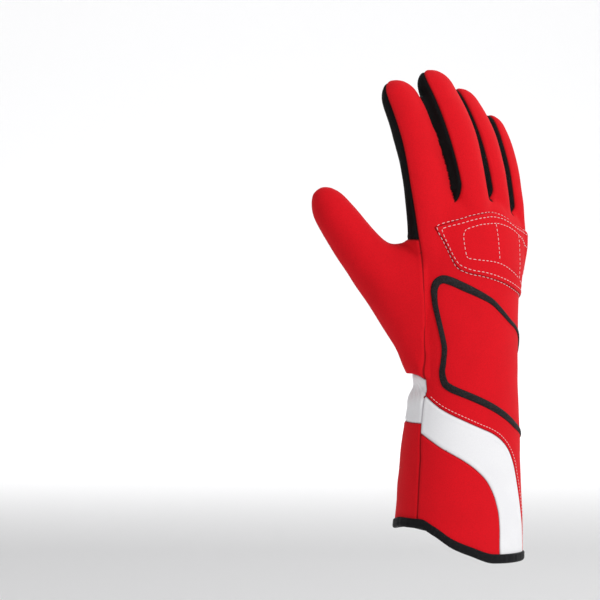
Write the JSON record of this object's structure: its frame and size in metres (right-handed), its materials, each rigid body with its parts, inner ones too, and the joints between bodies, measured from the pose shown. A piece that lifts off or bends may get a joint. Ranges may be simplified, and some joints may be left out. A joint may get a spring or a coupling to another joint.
{
  "type": "karting glove",
  "caption": "Right-hand karting glove with a flared gauntlet, red back, black palm, grey suede grips and a white swept band, held up by its cuff with its fingers filled out.",
  "frame": {"origin": "the centre of the gauntlet's mouth, where a wrist fills it", "axes": "+Z towards the fingertips, -Y out of the back of the hand, -X to the thumb's side"},
  "size_m": [0.142, 0.0889, 0.3169],
  "materials": {
    "red_fabric": "matte woven",
    "white_fabric": "matte woven",
    "black_knit": "matte knit",
    "grey_suede": "napped suede",
    "black_trim": "grained",
    "black_tape": "woven tape"
  },
  "bodies": {
    "root": {"hand_back": "red_fabric", "thumb_panel": "red_fabric", "palm": "black_knit", "fourchette_index_middle": "black_knit", "fourchette_middle_ring": "black_knit", "fourchette_ring_little": "black_knit", "cuff_band": "white_fabric", "cuff_back": "red_fabric", "cuff_front": "white_fabric", "cuff_tongue": "red_fabric", "binding": "black_tape", "knuckle_pad": "red_fabric", "trim_loop": "black_trim", "palm_patch": "grey_suede", "thenar_patch": "grey_suede", "thumb_patch": "grey_suede", "index_patch": "grey_suede", "middle_patch": "grey_suede", "ring_patch": "grey_suede", "little_patch": "grey_suede"}
  },
  "joints": []
}
